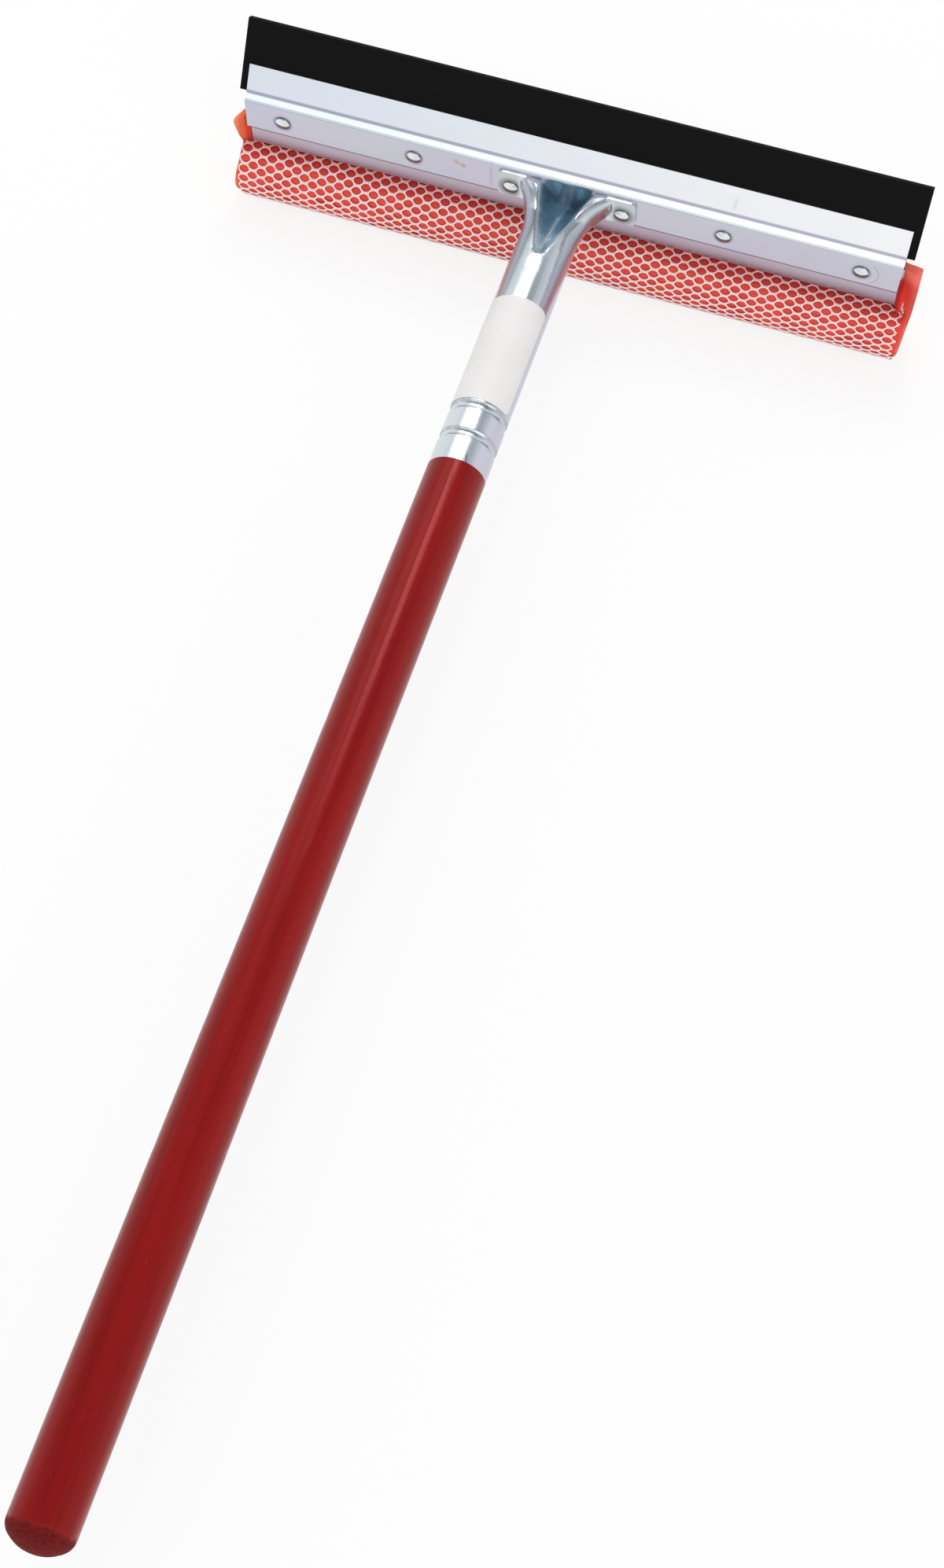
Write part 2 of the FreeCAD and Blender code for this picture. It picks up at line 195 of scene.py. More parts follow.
def dress(node, material):
    """Gives a CAD node its material."""
    slots = nodes[node].data.materials
    slots.clear()
    slots.append(material)


def new_piece(name, points, faces, material):
    """A smooth mesh object from points in metres."""
    mesh = bpy.data.meshes.new(name)
    mesh.from_pydata([tuple(p) for p in points], [], [tuple(f) for f in faces])
    mesh.validate()
    mesh.update()
    mesh.shade_smooth()
    mesh.materials.append(material)
    piece = bpy.data.objects.new(name, mesh)
    bpy.context.scene.collection.objects.link(piece)
    return piece


# Places that the materials and the soft pieces refer to

def middle_of(node):
    """The middle of a node's box."""
    low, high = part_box(node)
    return (low + high) / 2


net_low, net_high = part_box("net_sleeve")
strip_low, strip_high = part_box("neck_strip")
rear_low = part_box("rear_plate")[0]
plate_low, plate_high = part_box("front_plate")
handle_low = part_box("wooden_handle")[0]
ferrule_low, ferrule_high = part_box("ferrule")
rivet_middles = [middle_of(f"plate_rivet_{i}") for i in range(1, 5)]
body_top = strip_low.z - 0.4 * mm
ear_rivet_middles = [middle_of(f"ear_rivet_{side}") for side in ("left", "right")]
ledge_height = plate_low.z + 10.9 * mm
crease_height = ledge_height + 1.5 * mm
tube_middle = Vector((-1.05, 196.88, 37.2)) * mm
smear_place = Vector((-34.0, 196.9, 38.1)) * mm
smear_size = Vector((4.2, 40.0, 1.5)) * mm

# On the ferrule, along from its head end: the pressed valley and the crimps' tarnish; beside it: the seam
ferrule_length = ferrule_high.y - ferrule_low.y
valley_length = 28.9 * mm
valley_half = (1.7 * mm, 7.9 * mm)
valley_floor = (30.2 * mm, 30.9 * mm)
crimp_insets = (9.3 * mm, 18.9 * mm)
tarnish_shift = 1.2 * mm
seam_aside = 2.6 * mm
seam_from_end = 1.3 * mm
seam_slant = 0.16
upper_side = (38.0 * mm, 40.0 * mm)

# The right lobe's lit top, from and to this height
lit_from, lit_to = 34.5 * mm, 38.5 * mm


# Materials

def worn_zinc(paint, tint, rough, streaks, hairs=260.0):
    """Bright zinc: faint clouds, rolling or drawing streaks, specks and a few hair scratches."""
    cloud = paint.noise(45.0, 4.0)
    lines = paint.noise(700.0, 3.0, vector=paint.stretched(streaks))
    speck = paint.noise(1500.0, 2.0, 0.6)
    shade = paint.times(paint.ramp(cloud, ((0.3, 0.95), (0.7, 1.0))),
                        paint.ramp(lines, ((0.3, 0.975), (0.7, 1.0))))
    shade = paint.times(shade, paint.ramp(speck, ((0.20, 0.75), (0.27, 1.0))))
    if hairs:
        hair = paint.noise(hairs, 1.0, vector=paint.stretched((1.0, 0.35, 0.08)))
        shade = paint.times(shade, paint.ramp(hair, ((0.22, 0.86), (0.26, 1.0))))
    colour = paint.times(tint, shade)
    roughness = paint.maths(paint.ramp(lines, ((0.3, rough), (0.7, rough + 0.05))),
                            paint.ramp(cloud, ((0.35, 0.0), (0.7, 0.04))))
    paint.set(Metallic=1.0, Roughness=roughness)
    return colour, paint.bump(cloud, 0.10 * mm, 0.25, paint.bump(lines, 0.01 * mm, 0.25))


def painted_shade_line(paint, colour, height, half, shade):
    """A thin line of painted shade along the head at a height, multiplied into a colour."""
    away = paint.apart(paint.axis("Z"), height)
    return paint.mix(paint.span(away, 0.35 * half, half, 1.0, 0.0), colour, paint.times(colour, shade))


def plate_zinc(name, front):
    """A plate: lilac film on the flange painted darker and the ledge and lip painted paler, brighter to the
    right, as painted reflection; painted shade round the rivets.
    """
    paint = Paint(name)
    # Painted reflection: the flange's lilac is painted darker, as it mirrors the shaded floor in front, and
    # the ledge and lip paler, brightest towards the right end.
    rise = paint.span(paint.axis("Z"), ledge_height - 0.6 * mm, ledge_height + 0.2 * mm)
    film = paint.noise(28.0, 3.0)
    lilac = paint.clouded(film, (0.61, 0.595, 0.70), (0.62, 0.63, 0.70))
    across = paint.span(paint.axis("X"), plate_low.x, plate_high.x)
    lip_reflection = paint.mix(across, (0.79, 0.835, 0.905), (0.99, 0.99, 1.0))
    colour, normal = worn_zinc(paint, paint.mix(rise, lilac, lip_reflection), 0.26, (0.02, 1.0, 1.0))
    # Rings round the rivets: on the front plate they darken the colour as painted shade round each rivet's
    # seat, and press a dimple into the bump.
    rings = None
    for middle in rivet_middles:
        ring = paint.span(paint.far_from(middle, flat=True), 2.3 * mm, 4.4 * mm)
        rings = ring if rings is None else paint.maths(rings, ring, "MULTIPLY")
    if front:
        # Painted reflection: a dark band along the crease above the ledge and a thin greenish line just
        # under the ledge, where the bends mirror the dark room overhead.
        colour = painted_shade_line(paint, colour, crease_height + 0.35 * mm, 0.60 * mm, (0.52, 0.52, 0.60))
        colour = painted_shade_line(paint, colour, ledge_height - 0.15 * mm, 0.30 * mm, (0.66, 0.76, 0.74))
        colour = paint.times(colour, paint.ramp(rings, ((0.0, 0.58), (0.5, 1.0))))
        last = rivet_middles[-1]
        mark = paint.far_from(last + Vector((0.6, 0.0, 0.0)) * mm, flat=True)
        mark = paint.apart(mark, 4.6 * mm)
        side = paint.span(paint.axis("X"), last.x + 2.5 * mm, last.x + 3.5 * mm, 1.0, 0.0)
        mark = paint.maths(paint.span(mark, 0.08 * mm, 0.22 * mm), side, "MAXIMUM")
        colour = paint.times(colour, paint.ramp(mark, ((0.0, 0.72), (1.0, 1.0))))
        smear = paint.feed(paint.node("ShaderNodeMapping", vector_type="TEXTURE"), Vector=paint.place)
        smear.inputs["Location"].default_value = smear_place
        smear.inputs["Scale"].default_value = smear_size
        smear.inputs["Rotation"].default_value = (0.0, 0.25, 0.0)
        reach = paint.node("ShaderNodeVectorMath", operation="LENGTH")
        paint.wire(smear.outputs["Vector"], reach.inputs[0])
        patch = paint.ramp(paint.noise(750.0, 4.0), ((0.35, 0.0), (0.65, 0.9)))
        stain = paint.span(paint.maths(reach.outputs["Value"], patch), 0.75, 1.15, 0.75, 0.0)
        colour = paint.mix(stain, colour, (0.50, 0.36, 0.27))
        normal = paint.bump(rings, 0.16 * mm, 0.6, normal)
    paint.set(Base_Color=colour, Normal=normal)
    return paint.material


def strip_zinc():
    """The strip: warmer film, and a painted shadow line under the flange's edge."""
    paint = Paint("strip_zinc")
    film = paint.noise(40.0, 3.0, vector=paint.stretched((0.5, 1.0, 1.0)))
    lilac = paint.clouded(film, (0.56, 0.500, 0.600), (0.58, 0.54, 0.62))
    colour, normal = worn_zinc(paint, lilac, 0.30, (0.02, 1.0, 1.0))
    # Painted shadow: a dark line on the strip just under the flange's bottom edge.
    colour = painted_shade_line(paint, colour, plate_low.z - 1.15 * mm, 0.42 * mm, (0.42, 0.36, 0.40))
    paint.set(Base_Color=colour, Normal=normal)
    return paint.material


def tube_zinc():
    """The ferrule: drawn tube, a little greener than the plates; painted shade in the valley where the V was
    pressed in, with a painted highlight along its floor, a painted lilac reflection on its right side, and
    the ears painted darker with painted shade round their rivets.
    """
    paint = Paint("tube_zinc")
    film = paint.noise(60.0, 3.0)
    tint = paint.clouded(film, (0.66, 0.73, 0.76), (0.73, 0.77, 0.81))
    along = paint.maths(paint.axis("Y"), tube_middle.y, "SUBTRACT")
    aside = paint.apart(paint.axis("X"), tube_middle.x)
    half = paint.span(along, -valley_length, 0.0, *valley_half, kind="LINEAR")
    inside = paint.span(paint.maths(half, aside, "SUBTRACT"), 0.0, 1.1 * mm)
    tip = paint.span(along, -valley_length - 0.3 * mm, -valley_length + 1.1 * mm)
    inside = paint.maths(inside, tip, "MULTIPLY")
    inside = paint.maths(inside, paint.span(paint.axis("Z"), *valley_floor), "MULTIPLY")
    # Painted shade: the valley inside the pressed V turns darker teal deeper in.
    valley_shade = paint.mix(paint.span(along, -26.0 * mm, -4.0 * mm), (0.54, 0.68, 0.76), (0.30, 0.46, 0.53))
    # Painted highlight: a pale streak along the valley's floor near the head.
    streak = paint.maths(paint.span(aside, 0.3 * mm, 1.3 * mm, 1.0, 0.0),
                         paint.span(along, -9.0 * mm, -6.0 * mm, 1.0, 0.0), "MULTIPLY")
    valley_shade = paint.mix(streak, valley_shade, (0.66, 0.78, 0.80))
    slant = paint.maths(paint.axis("X"), paint.maths(along, seam_slant, "MULTIPLY"))
    seam_middle = tube_middle.x + seam_aside + seam_slant * (seam_from_end - ferrule_length)
    seam = paint.span(paint.apart(slant, seam_middle), 0.04 * mm, 0.20 * mm, 1.0, 0.0)
    from_end = paint.maths(along, ferrule_length)
    seam = paint.maths(seam, paint.span(from_end, 1.9 * mm, 3.7 * mm, 1.0, 0.0), "MULTIPLY")
    seam = paint.maths(seam, paint.span(paint.axis("Z"), *upper_side), "MULTIPLY")
    tarnish = paint.ramp(paint.noise(240.0, 4.0), ((0.35, 0.25), (0.65, 0.95)))
    groove = None
    for inset in crimp_insets:
        away = paint.apart(along, inset - ferrule_length + tarnish_shift)
        band = paint.span(away, 0.25 * mm, 0.85 * mm, 1.0, 0.0)
        groove = band if groove is None else paint.maths(groove, band)
    groove = paint.maths(groove, tarnish, "MULTIPLY")
    # Painted reflection: a lilac tint on the tube's right side, away from the head.
    side_reflection = paint.span(paint.axis("X"), tube_middle.x + 2.0 * mm, tube_middle.x + 8.0 * mm)
    side_reflection = paint.maths(side_reflection, paint.span(along, -40.0 * mm, -20.0 * mm, 0.8, 0.0), "MULTIPLY")
    tint = paint.mix(side_reflection, tint, (0.56, 0.55, 0.66))
    # Painted shade: the ears painted darker grey, with darker rings round their rivets.
    ears = paint.span(aside, 13.5 * mm, 15.5 * mm)
    ear_shade = (0.58, 0.62, 0.64)
    for middle in ear_rivet_middles:
        ring = paint.span(paint.far_from(middle, flat=True), 2.5 * mm, 4.8 * mm, 1.0, 0.0)
        ear_shade = paint.mix(ring, ear_shade, (0.30, 0.31, 0.33))
    tint = paint.mix(ears, tint, ear_shade)
    tint = paint.mix(groove, tint, (0.40, 0.43, 0.45))
    tint = paint.mix(seam, tint, (0.13, 0.13, 0.14))
    colour, normal = worn_zinc(paint, paint.mix(inside, tint, valley_shade), 0.22, (1.0, 0.03, 1.0))
    normal = paint.bump(paint.noise(110.0, 2.0), 0.30 * mm, 0.35, normal)
    paint.set(Base_Color=colour, Normal=normal)
    return paint.material


def rivet_zinc():
    """Rivets: hammered domed heads, with a painted grey reflection band in the lower half and painted shade
    at the rim.
    """
    paint = Paint("rivet_zinc")
    hammer = paint.noise(520.0, 2.0)
    part = paint.node("ShaderNodeTexCoord").outputs["Generated"]
    split = paint.feed(paint.node("ShaderNodeSeparateXYZ"), Vector=part)
    right = paint.maths(split.outputs["X"], 0.5, "SUBTRACT")
    up = paint.maths(split.outputs["Z"], 0.5, "SUBTRACT")
    square = paint.maths(paint.maths(right, right, "MULTIPLY"), paint.maths(up, up, "MULTIPLY"))
    # Painted reflection: a grey band across the lower half of the dome, where it mirrors the net and floor
    # below.
    band = paint.maths(paint.span(up, -0.34, -0.26), paint.span(up, -0.10, 0.06, 1.0, 0.0), "MULTIPLY")
    tint = paint.mix(band, (0.80, 0.85, 0.86), (0.34, 0.37, 0.38))
    # Painted shade: the head darkened round its rim, where it meets the plate.
    rim_shade = paint.span(square, 0.19, 0.235)
    tint = paint.mix(rim_shade, tint, (0.30, 0.32, 0.33))
    colour, normal = worn_zinc(paint, tint, 0.16, (1.0, 1.0, 1.0), hairs=None)
    dome = paint.maths(1.0, square, "SUBTRACT")
    paint.set(Base_Color=colour,
              Normal=paint.bump(dome, 2.2 * mm, 1.0, paint.bump(hammer, 0.12 * mm, 0.4, normal)))
    return paint.material


def lacquered_wood():
    """Red lacquer on a turned stick: fine long grain, turning marks, dull end grain on the butt."""
    paint = Paint("lacquered_wood")
    grain = paint.noise(420.0, 5.0, vector=paint.stretched((1.0, 0.025, 1.0)))
    streak = paint.noise(70.0, 3.0, vector=paint.stretched((1.0, 0.04, 1.0)))
    turning = paint.noise(1.0, 2.0, vector=paint.stretched((20.0, 900.0, 20.0)))
    fleck = paint.noise(1.0, 3.0, 0.6, vector=paint.stretched((1900.0, 420.0, 1900.0)))
    colour = paint.clouded(streak, (0.232, 0.0070, 0.0072), (0.262, 0.0090, 0.0092))
    colour = paint.times(colour, paint.ramp(grain, ((0.30, 0.74), (0.58, 1.0))))
    colour = paint.mix(paint.ramp(fleck, ((0.66, 0.0), (0.74, 0.30))), colour, (0.44, 0.045, 0.042))
    pore = paint.noise(1300.0, 3.0, 0.65)
    ragged = paint.maths(paint.axis("Y"), paint.ramp(paint.noise(300.0, 4.0), ((0.3, 0.0), (0.7, 0.0011))))
    end = paint.span(ragged, handle_low.y + 5.2 * mm, handle_low.y + 6.6 * mm, 1.0, 0.0)
    raw = paint.clouded(pore, (0.085, 0.0060, 0.0065), (0.185, 0.0095, 0.0100), end=0.62)
    rough = paint.ramp(end, ((0.0, 0.26), (1.0, 0.85)))
    height = paint.mix(end, paint.ramp(grain, ((0.0, 0.0), (1.0, 0.25))),
                       paint.ramp(pore, ((0.3, 0.0), (0.7, 1.0))))
    paint.set(Base_Color=paint.mix(end, colour, raw), Roughness=rough, Specular_IOR_Level=0.42,
              Specular_Tint=(1.0, 0.26, 0.25, 1.0),
              Normal=paint.bump(height, 0.14 * mm, 0.5, paint.bump(turning, 0.006 * mm, 0.3)))
    return paint.material


def black_rubber():
    """Matt black rubber: fine skin, a little dust, faint cutting lines along the strip."""
    paint = Paint("black_rubber")
    grain = paint.noise(1600.0, 3.0)
    dust = paint.noise(300.0, 6.0, 0.7)
    cut = paint.noise(500.0, 2.0, vector=paint.stretched((0.02, 1.0, 1.0)))
    colour = paint.mix(paint.ramp(dust, ((0.60, 0.0), (0.80, 0.5))),
                       (0.0075, 0.0068, 0.0068), (0.014, 0.013, 0.013))
    paint.set(Base_Color=colour, Roughness=0.8, Specular_IOR_Level=0.06,
              Normal=paint.bump(grain, 0.03 * mm, 0.3, paint.bump(cut, 0.02 * mm, 0.3)))
    return paint.material


def foam_material():
    """Open foam: pores, redder under the net, orange where it is bare and swollen; painted shade under the
    strip and in the pinch by the plates, and paler painted light on the lobes' crests, the right end and the
    right lobe's lit top.
    """
    paint = Paint("foam")
    cells = paint.node("ShaderNodeTexVoronoi")
    paint.feed(cells, Vector=paint.place, Scale=2600.0)
    pores = cells.outputs["Distance"]
    cloud = paint.noise(170.0, 4.0)
    bare = paint.node("ShaderNodeAttribute", attribute_name="bare").outputs["Fac"]
    crest_light = paint.node("ShaderNodeAttribute", attribute_name="crest_light").outputs["Fac"]
    across = paint.span(paint.axis("X"), plate_low.x, plate_high.x)
    covered = paint.clouded(cloud, (0.78, 0.070, 0.052), (0.86, 0.095, 0.068), 0.3, 0.7)
    # Painted shade: darker red just under the strip, in its shadow.
    strip_shadow = paint.span(paint.axis("Z"), body_top - 3.6 * mm, body_top - 1.2 * mm, 0.0, 0.8)
    covered = paint.mix(strip_shadow, covered, (0.46, 0.028, 0.026))
    # Painted shade: dark red where the bare foam runs into the pinch by the plates.
    pinch_shade = paint.mix(across, (0.70, 0.060, 0.030), (0.40, 0.020, 0.020))
    flank = paint.mix(across, (0.84, 0.150, 0.062), (0.78, 0.048, 0.036))
    # Painted light: the paler colour of the lobes' lit crests and the right end's lit faces.
    rise = paint.mix(across, (0.94, 0.310, 0.155), (0.93, 0.205, 0.155))
    open_side = paint.mix(paint.span(crest_light, 0.05, 0.32), pinch_shade, flank)
    open_side = paint.mix(paint.span(crest_light, 0.45, 0.95), open_side, rise)
    lit = paint.maths(paint.span(paint.axis("Z"), lit_from, lit_to, 0.0, 0.75), across, "MULTIPLY")
    open_side = paint.mix(lit, open_side, rise)
    open_side = paint.times(open_side, paint.ramp(cloud, ((0.3, 0.88), (0.7, 1.04))))
    colour = paint.mix(bare, covered, open_side)
    colour = paint.mix(0.4, colour, paint.ramp(pores, ((0.1, 0.78), (0.6, 1.04))), "MULTIPLY")
    paint.set(Base_Color=colour, Roughness=0.92, Specular_IOR_Level=0.15, Subsurface_Weight=0.12,
              Subsurface_Radius=(0.004, 0.001, 0.0006), Subsurface_Scale=0.3,
              Normal=paint.bump(pores, 0.25 * mm, 0.5, paint.bump(cloud, 0.3 * mm, 0.3)))
    return paint.material


def net_material():
    """Knitted yarn: pale pink, painted dark red shade and red bounce light at the openings' rims, stitch
    marks, painted shade under the strip.
    """
    paint = Paint("net_yarn")
    stitch = paint.node("ShaderNodeAttribute", attribute_name="stitch").outputs["Fac"]
    rim_shade = paint.node("ShaderNodeAttribute", attribute_name="rim_shade").outputs["Fac"]
    twist = paint.noise(1700.0, 3.0)
    # Painted shade and red bounce light from the foam: the yarn turns dark red towards the openings' rims.
    colour = paint.clouded(rim_shade, (1.0, 0.76, 0.74), (0.44, 0.038, 0.036), 0.30, 0.95)
    colour = paint.mix(paint.ramp(stitch, ((0.45, 0.0), (0.85, 0.75))), colour, (0.42, 0.17, 0.16))
    colour = paint.mix(0.4, colour, paint.ramp(twist, ((0.3, 0.86), (0.7, 1.03))), "MULTIPLY")
    # Painted shade: the yarn dulled just under the strip, in its shadow.
    strip_shadow = paint.span(paint.axis("Z"), body_top - 2.6 * mm, body_top - 0.4 * mm)
    colour = paint.mix(strip_shadow, colour, paint.times(colour, (0.80, 0.56, 0.56)))
    paint.set(Base_Color=colour, Roughness=0.6, Specular_IOR_Level=0.3,
              Normal=paint.bump(twist, 0.08 * mm, 0.5))
    return paint.material


def label_paper():
    """Coated paper: slight fibre, a dull patch or two."""
    paint = Paint("label_paper")
    fibre = paint.noise(700.0, 5.0)
    stain = paint.noise(60.0, 3.0)
    colour = paint.clouded(stain, (0.81, 0.80, 0.80), (0.77, 0.755, 0.75), end=0.7)
    paint.set(Base_Color=colour, Roughness=0.5, Specular_IOR_Level=0.3,
              Normal=paint.bump(fibre, 0.02 * mm, 0.3, paint.bump(stain, 0.4 * mm, 0.3)))
    return paint.material


# The foam bar and its net. The bar is an oval across the head, pinched at its top between the plates.

neck_y = (strip_high.y + rear_low.y) / 2
body_half_thick = (net_high.y - net_low.y) / 2
left_height = body_top - net_low.z
right_height = left_height - 1.6 * mm
net_thick = 0.4 * mm

# The knit: columns along the head, half rows round the bar, each a little closer towards one end
column_pitch = 2.788 * mm
column_start = -60.79 * mm
half_row = 1.51 * mm
half_row_lean = -0.14 / 120
first_row = 8.47 * mm
first_row_lean = -1.3 / 120
opening_half = (1.56 * mm, 1.09 * mm)
opening_power = 1.65
foam_round = 1.6 * mm
foam_seat = 0.24 * mm
foam_pillow = 0.24 * mm
bar_low_x = plate_low.x - 2.7 * mm
bar_high_x = plate_high.x + 3.9 * mm


def body_height(x):
    share = (x - net_low.x) / (net_high.x - net_low.x)
    return left_height + (right_height - left_height) * share


def oval_table(count=720):
    """Arc length along the oval's section from its top, and the angle reached there."""
    angle = np.linspace(0.0, 2 * math.pi, count)
    height = (left_height + right_height) / 4
    step = np.hypot(np.diff(np.cos(angle)) * height, np.diff(np.sin(angle)) * body_half_thick)
    return np.concatenate(([0.0], np.cumsum(step))), angle


arc_lengths, arc_angles = oval_table()
perimeter = arc_lengths[-1]


def on_bar(x, along, out):
    """Points of the bar's skin: along its section from the front of the neck, raised by out."""
    angle = np.interp(along, arc_lengths, arc_angles)
    half = body_height(x) / 2
    normal = np.stack((-np.sin(angle) / body_half_thick, np.cos(angle) / half))
    normal /= np.hypot(*normal)
    y = neck_y - np.sin(angle) * body_half_thick + normal[0] * out
    z = body_top - half + np.cos(angle) * half + normal[1] * out
    return np.stack((x, y, z), axis=-1)


def end_round(x):
    """How far the bar's skin draws in near its rounded ends."""
    near = np.clip(foam_round - np.minimum(x - bar_low_x, bar_high_x - x), 0.0, 0.98 * foam_round)
    return foam_round - np.sqrt(foam_round ** 2 - near ** 2)


def knit_rows(x):
    """Where the knit's row zero lies round the bar at x, and how far apart its half rows are there."""
    return first_row + first_row_lean * x, half_row + half_row_lean * x


def net(material):
    """Knitted mesh: each cell is rings of faces from the strands' ridge in to a rounded opening."""
    parts = 5
    wide = (column_pitch ** 2 + half_row ** 2) / (2 * column_pitch)
    narrow = (column_pitch ** 2 - half_row ** 2) / (2 * column_pitch)
    ridge = np.array(((wide, 0), (narrow, half_row), (-narrow, half_row),
                      (-wide, 0), (-narrow, -half_row), (narrow, -half_row)))
    share = np.arange(parts)[:, None] / parts
    sides = zip(ridge, np.roll(ridge, -1, axis=0))
    outline = np.concatenate([a * (1 - share) + b * share for a, b in sides])
    turn = np.arctan2(outline[:, 1], outline[:, 0])
    reach = (np.abs(np.cos(turn) / opening_half[0]) ** opening_power
             + np.abs(np.sin(turn) / opening_half[1]) ** opening_power) ** (-1 / opening_power)
    opening = np.stack((np.cos(turn) * reach, np.sin(turn) * reach), axis=-1)
    shares = (0.0, 0.5, 0.86, 1.0)
    depths = (0.02 * mm, 0.0, 0.10 * mm, net_thick + 0.05 * mm)
    # Painted shade at each ring, from none on the ridge to full at the opening's rim.
    rim_shades = (0.0, 0.0, 0.35, 1.0)
    corners = len(outline)
    here = np.arange(corners)
    bar_edge = np.isin(here // parts, (1, 4)) & np.isin(here % parts, (1, 4))
    spots = np.concatenate([outline * (1 - s) + opening * s for s in shares])
    depth = np.repeat(depths, corners)
    rim_shade = np.repeat(rim_shades, corners)
    stitch = np.concatenate((bar_edge, np.zeros(corners * (len(shares) - 1), dtype=bool))).astype(float)
    ahead = (here + 1) % corners
    ring = np.stack((here, ahead, ahead + corners, here + corners), axis=-1)
    cell_faces = np.concatenate([ring + corners * i for i in range(len(shares) - 1)])

    first_column = math.floor((bar_low_x - column_start) / column_pitch) - 1
    last_column = math.ceil((bar_high_x - column_start) / column_pitch) + 1
    points, faces = [], []
    for column in range(first_column, last_column + 1):
        middle = column_start + column * column_pitch
        start, step = knit_rows(middle)
        low_row = math.floor(-start / step) - 2
        high_row = math.ceil((perimeter - start) / step) + 2
        for row in range(low_row, high_row + 1):
            if (row + column) % 2:
                continue
            x = middle + spots[:, 0]
            start, step = knit_rows(x)
            along = start + step * (row + spots[:, 1] / half_row)
            if along.max() < 0 or along.min() > perimeter:
                continue
            faces.append(cell_faces + len(points) * len(spots))
            points.append(on_bar(x, np.clip(along, 0.0, perimeter), -depth - end_round(x)))
    cells = len(points)
    points, faces = np.concatenate(points), np.concatenate(faces)
    middles = points[faces].mean(axis=1)
    fray = 0.5 * mm * np.sin(middles[:, 2] / mm * 2.1) * np.sin(middles[:, 1] / mm * 1.7)
    kept = (middles[:, 0] > bar_low_x + 0.7 * mm) & (middles[:, 0] < bar_high_x - 0.9 * mm + fray)
    sides_of = [points[faces[:, i]] - points[faces[:, i - 1]] for i in range(4)]
    flat = sum(np.linalg.norm(s, axis=1) for s in sides_of) > 0.05 * mm
    faces = faces[kept & flat]
    used = np.unique(faces)
    piece = new_piece("net", points[used], np.searchsorted(used, faces), material)
    for name, values in (("rim_shade", rim_shade), ("stitch", stitch)):
        layer = piece.data.attributes.new(name, "FLOAT", "POINT")
        layer.data.foreach_set("value", np.tile(values, cells)[used].astype(np.float32))
    return piece


def threads(material):
    """Loose ends of yarn that hang out between the plates and the foam's lobe."""
    corner = np.array((plate_high.x, strip_low.y, strip_low.z)) / mm
    bends = (((0.3, -0.2, 4.6), (1.6, -1.2, 5.4), (2.4, -1.6, 3.4), (2.0, -1.9, 1.6), (3.0, -2.4, 0.4)),
             ((0.2, -0.2, 2.2), (1.2, -1.0, 3.2), (1.7, -1.5, 1.6), (2.4, -1.9, 1.0), (2.9, -2.0, 2.0)),
             ((0.3, -0.3, 0.4), (1.0, -1.1, 0.9), (1.4, -1.5, -0.4), (2.4, -2.3, -0.8)))
    points, faces = [], []
    around, radius = 8, 0.26
    for bend in bends:
        curve = bpy.data.curves.new("bend", "CURVE")
        curve.dimensions = "3D"
        curve.resolution_u = 8
        line = curve.splines.new("NURBS")
        line.points.add(len(bend) - 1)
        for point, spot in zip(line.points, bend):
            point.co = (*(np.array(spot) + corner), 1.0)
        line.order_u = 3
        line.use_endpoint_u = True
        holder = bpy.data.objects.new("bend", curve)
        path = np.array([v.co for v in bpy.data.meshes.new_from_object(holder).vertices])
        bpy.data.objects.remove(holder)
        way = np.gradient(path, axis=0)
        way /= np.linalg.norm(way, axis=1)[:, None]
        first = np.cross(way, (0.0, 0.0, 1.0))
        first /= np.linalg.norm(first, axis=1)[:, None]
        second = np.cross(way, first)
        base = len(points)
        for i, spot in enumerate(path):
            for j in range(around):
                turn = 2 * math.pi * j / around
                ply = 1.0 + 0.18 * math.cos(2 * turn + i * 0.8)
                out = first[i] * math.cos(turn) + second[i] * math.sin(turn)
                points.append((spot + radius * ply * out) * mm)
        for i in range(len(path) - 1):
            for j in range(around):
                a, b = base + i * around + j, base + i * around + (j + 1) % around
                faces.append((a, b, b + around, a + around))
        faces.append(tuple(range(base, base + around)))
        faces.append(tuple(range(len(points) - around, len(points))))
    return new_piece("net_threads", points, faces, material)


def settled(piece):
    """The piece with its modifiers applied to its mesh."""
    graph = bpy.context.evaluated_depsgraph_get()
    mesh = bpy.data.meshes.new_from_object(piece.evaluated_get(graph))
    piece.modifiers.clear()
    piece.data = mesh
    return mesh


def loft(sections):
    """Points and faces of a closed block through sections (x, y0, y1, z0, z1)."""
    points, faces = [], []
    for x, y0, y1, z0, z1 in sections:
        points += [(x, y0, z0), (x, y1, z0), (x, y1, z1), (x, y0, z1)]
    for i in range(len(sections) - 1):
        for j in range(4):
            a, b = 4 * i + j, 4 * i + (j + 1) % 4
            faces.append((a, b, b + 4, a + 4))
    faces += [(3, 2, 1, 0), tuple(range(len(points) - 4, len(points)))]
    return points, faces


# How the foam swells where the plates end: mm beyond the plate, front, back, bottom and top
left_lobe = ((-0.8, -1.3, 1.3, 23.6, 34.4), (0.5, -1.8, 1.6, 21.0, 34.4), (1.7, -2.8, 1.8, 21.0, 33.2),
             (3.2, -2.8, 1.6, 23.4, 31.6), (4.6, -2.0, 1.2, 26.0, 29.8), (5.6, -1.2, 0.6, 27.2, 28.8))
right_lobe = ((-0.8, -1.3, 1.3, 16.0, 39.8), (0.6, -1.5, 1.4, 12.0, 39.8), (1.8, -2.4, 1.5, 12.0, 39.6),
              (3.2, -4.2, 1.6, 12.0, 39.2), (4.4, -5.6, 1.6, 12.0, 38.6), (5.8, -5.9, 1.5, 12.0, 38.0))


